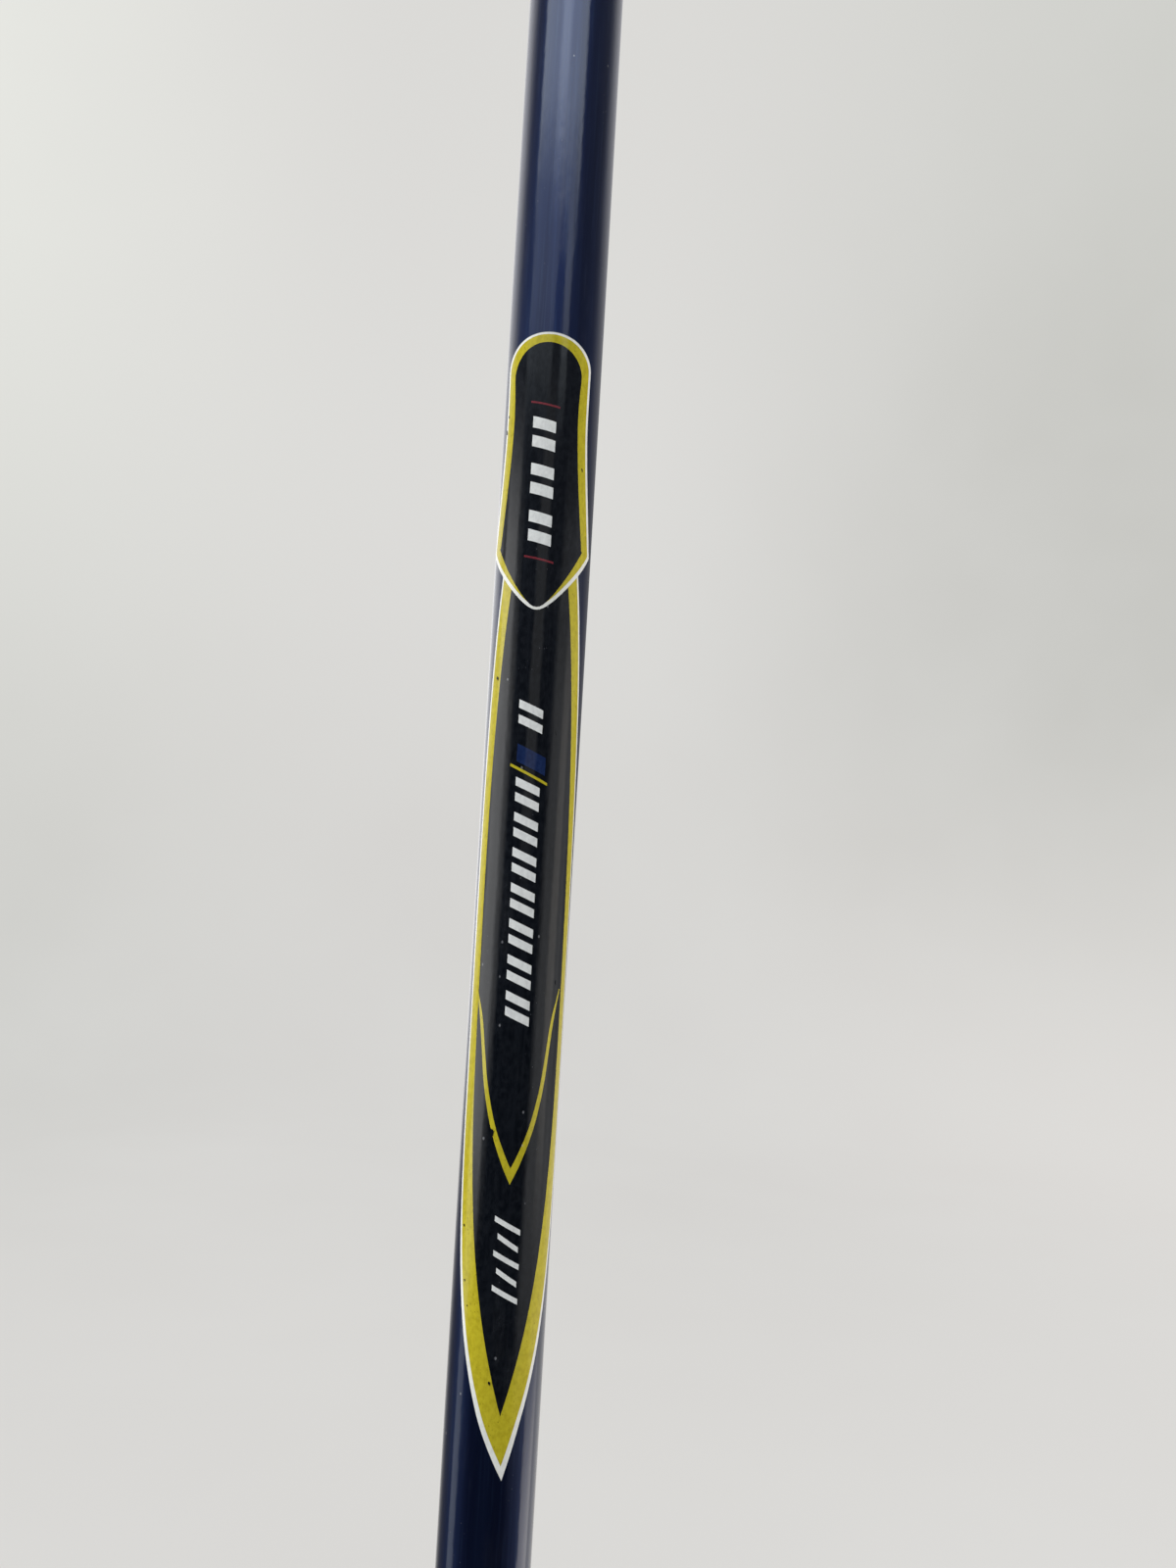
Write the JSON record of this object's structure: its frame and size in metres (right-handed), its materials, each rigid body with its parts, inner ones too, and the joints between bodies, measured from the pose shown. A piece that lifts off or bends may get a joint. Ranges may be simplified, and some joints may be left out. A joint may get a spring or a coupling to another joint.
{
  "type": "golf club, fairway wood",
  "caption": "Women's fairway wood: a lacquered tapered graphite shaft with a wrapped label, a rubber grip and a hollow painted steel head.",
  "frame": {"origin": "middle of the grip cap's top face, on the shaft's axis", "axes": "+Z along the shaft towards the grip end; the label faces -Y, the toe points to -Y and down, and the face looks to +X"},
  "size_m": [0.0584, 0.0842, 1.0704],
  "materials": {
    "cap_rubber": "moulded, matt",
    "grip_rubber": "moulded pattern, matt",
    "tape_paper": "double-sided paper tape",
    "shaft_lacquer": "dark blue lacquer over graphite, clear coated",
    "label_print": "black, yellow and white print under the clear coat",
    "ferrule_black": "polished black",
    "ferrule_yellow": "polished yellow",
    "cork": "raw cork",
    "pin_brass": "turned",
    "epoxy": "cured resin",
    "head_paint": "dark blue metallic, clear coated",
    "face_steel": "grit blasted, with score lines",
    "sole_steel": "brushed",
    "plug_brass": "faced off flush",
    "foam": "expanded foam"
  },
  "bodies": {
    "root": {"grip_cap": "cap_rubber", "grip_sleeve": "grip_rubber", "grip_tape": "tape_paper", "shaft": "shaft_lacquer", "shaft_label": "label_print", "ferrule_collar": "ferrule_black", "ferrule_trim_ring": "ferrule_yellow", "ferrule_base": "ferrule_black", "shaft_cork": "cork", "tip_weight_pin": "pin_brass", "tip_epoxy_sleeve": "epoxy", "head_body": "head_paint", "face_plate": "face_steel", "sole_plate": "sole_steel", "sole_plug": "plug_brass", "foam_core": "foam"}
  },
  "joints": []
}
